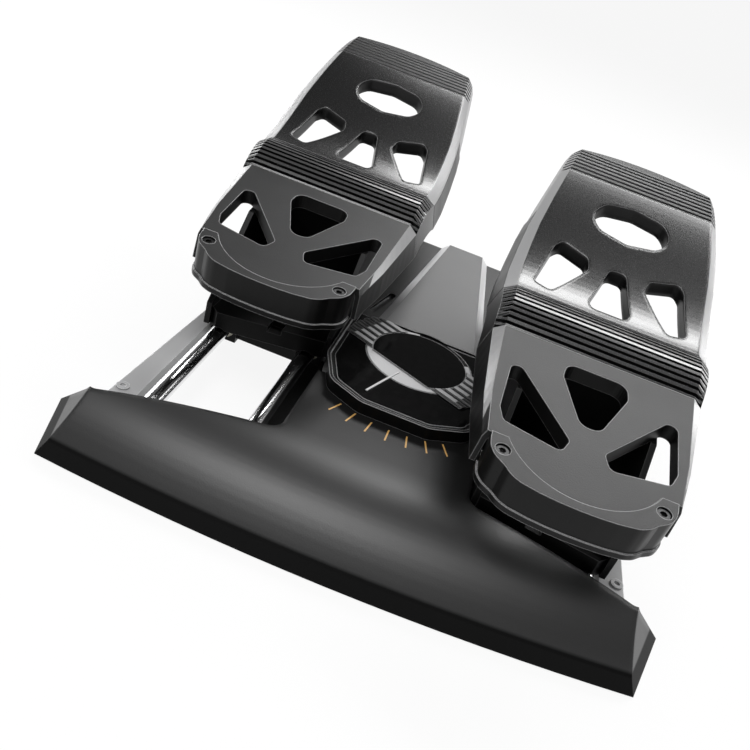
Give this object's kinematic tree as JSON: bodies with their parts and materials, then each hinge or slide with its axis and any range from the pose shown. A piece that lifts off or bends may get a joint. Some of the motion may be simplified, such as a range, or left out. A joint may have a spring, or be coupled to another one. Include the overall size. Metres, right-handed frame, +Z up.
{
  "type": "flight simulator rudder pedals",
  "caption": "Flight simulator rudder pedals: two foot plates that slide on chrome rails, linked by a rocker, with sprung toe brakes on a wide wedge-shaped base.",
  "frame": {"origin": "centre of the footprint's bounding box, at the floor", "axes": "+X is the user's right, +Y points away from the user, towards the toes, +Z is up"},
  "size_m": [0.37, 0.4213, 0.1755],
  "materials": {
    "apron": "satin graphite",
    "console": "satin grey-black",
    "foot": "fine-grained satin black",
    "gloss": "gloss black",
    "black": "matte black",
    "chrome": "polished",
    "side": "satin light grey",
    "steel": "turned",
    "screw": "blackened",
    "dial": "satin light grey",
    "slat": "satin grey",
    "bush": "acetal",
    "drag": "matt friction ring",
    "feet": "matt",
    "board": "green circuit board",
    "sensor": "moulded"
  },
  "bodies": {
    "base": {"base_tray": "black", "apron_cover": "apron", "front_rail_block": "black", "rear_cross_member": "black", "outer_rail_left": "chrome", "inner_rail_left": "chrome", "inner_rail_right": "chrome", "outer_rail_right": "chrome", "side_plate_left": "side", "side_plate_right": "side", "side_plate_screws": "side", "console_cover": "console", "gloss_plate": "gloss", "pivot_post": "steel", "drag_washer": "drag", "circuit_board": "board", "yaw_sensor": "sensor", "cable_gland": "feet", "rubber_feet": "feet", "base_screws": "screw"},
    "rocker": {"rocker_arm": "steel", "rocker_hub": "black", "dial_disc": "dial", "dial_badge": "gloss", "dial_pointer": "dial", "dial_wing_left": "slat", "dial_wing_right": "slat"},
    "left_pedal": {"left_carriage": "black", "left_slide_bushes": "bush", "left_drive_pin": "steel", "left_pedal_frame": "black", "left_heel_plate": "foot", "left_heel_rim": "gloss", "left_heel_screws": "screw", "left_knuckle": "foot", "left_toe_sensor": "sensor"},
    "left_toe": {"left_toe_plate": "foot", "left_toe_bracket": "black", "left_hinge_pin": "steel", "left_return_spring": "steel"},
    "right_pedal": {"right_carriage": "black", "right_slide_bushes": "bush", "right_drive_pin": "steel", "right_pedal_frame": "black", "right_heel_plate": "foot", "right_heel_rim": "gloss", "right_heel_screws": "screw", "right_knuckle": "foot", "right_toe_sensor": "sensor"},
    "right_toe": {"right_toe_plate": "foot", "right_toe_bracket": "black", "right_hinge_pin": "steel", "right_return_spring": "steel"}
  },
  "joints": [
    {"name": "left_slide", "type": "slide", "parent": "base", "child": "left_pedal", "axis": [0, 1, 0], "range_m": [-0.094, 0]},
    {"name": "right_slide", "type": "slide", "parent": "base", "child": "right_pedal", "axis": [0, 1, 0], "range_m": [0, 0.094]},
    {"name": "rocker_pivot", "type": "hinge", "parent": "base", "child": "rocker", "pos_m": [0, -0.03265, 0.009], "axis": [0, 0, 1], "range_deg": [0, 51.1]},
    {"name": "left_toe_hinge", "type": "hinge", "parent": "left_pedal", "child": "left_toe", "pos_m": [-0.0985, 0.05463, 0.0815], "axis": [-1, 0, 0], "range_deg": [0, 16], "stiffness_Nm_per_rad": 4, "springref_deg": -11.46},
    {"name": "right_toe_hinge", "type": "hinge", "parent": "right_pedal", "child": "right_toe", "pos_m": [0.0985, -0.03937, 0.0815], "axis": [-1, 0, 0], "range_deg": [0, 16], "stiffness_Nm_per_rad": 4, "springref_deg": -11.46}
  ],
  "couplings": [
    {"joint": "right_slide", "follows": "left_slide", "ratio": -1},
    {"joint": "rocker_pivot", "follows": "left_slide", "rad_per_m": -9.473}
  ]
}
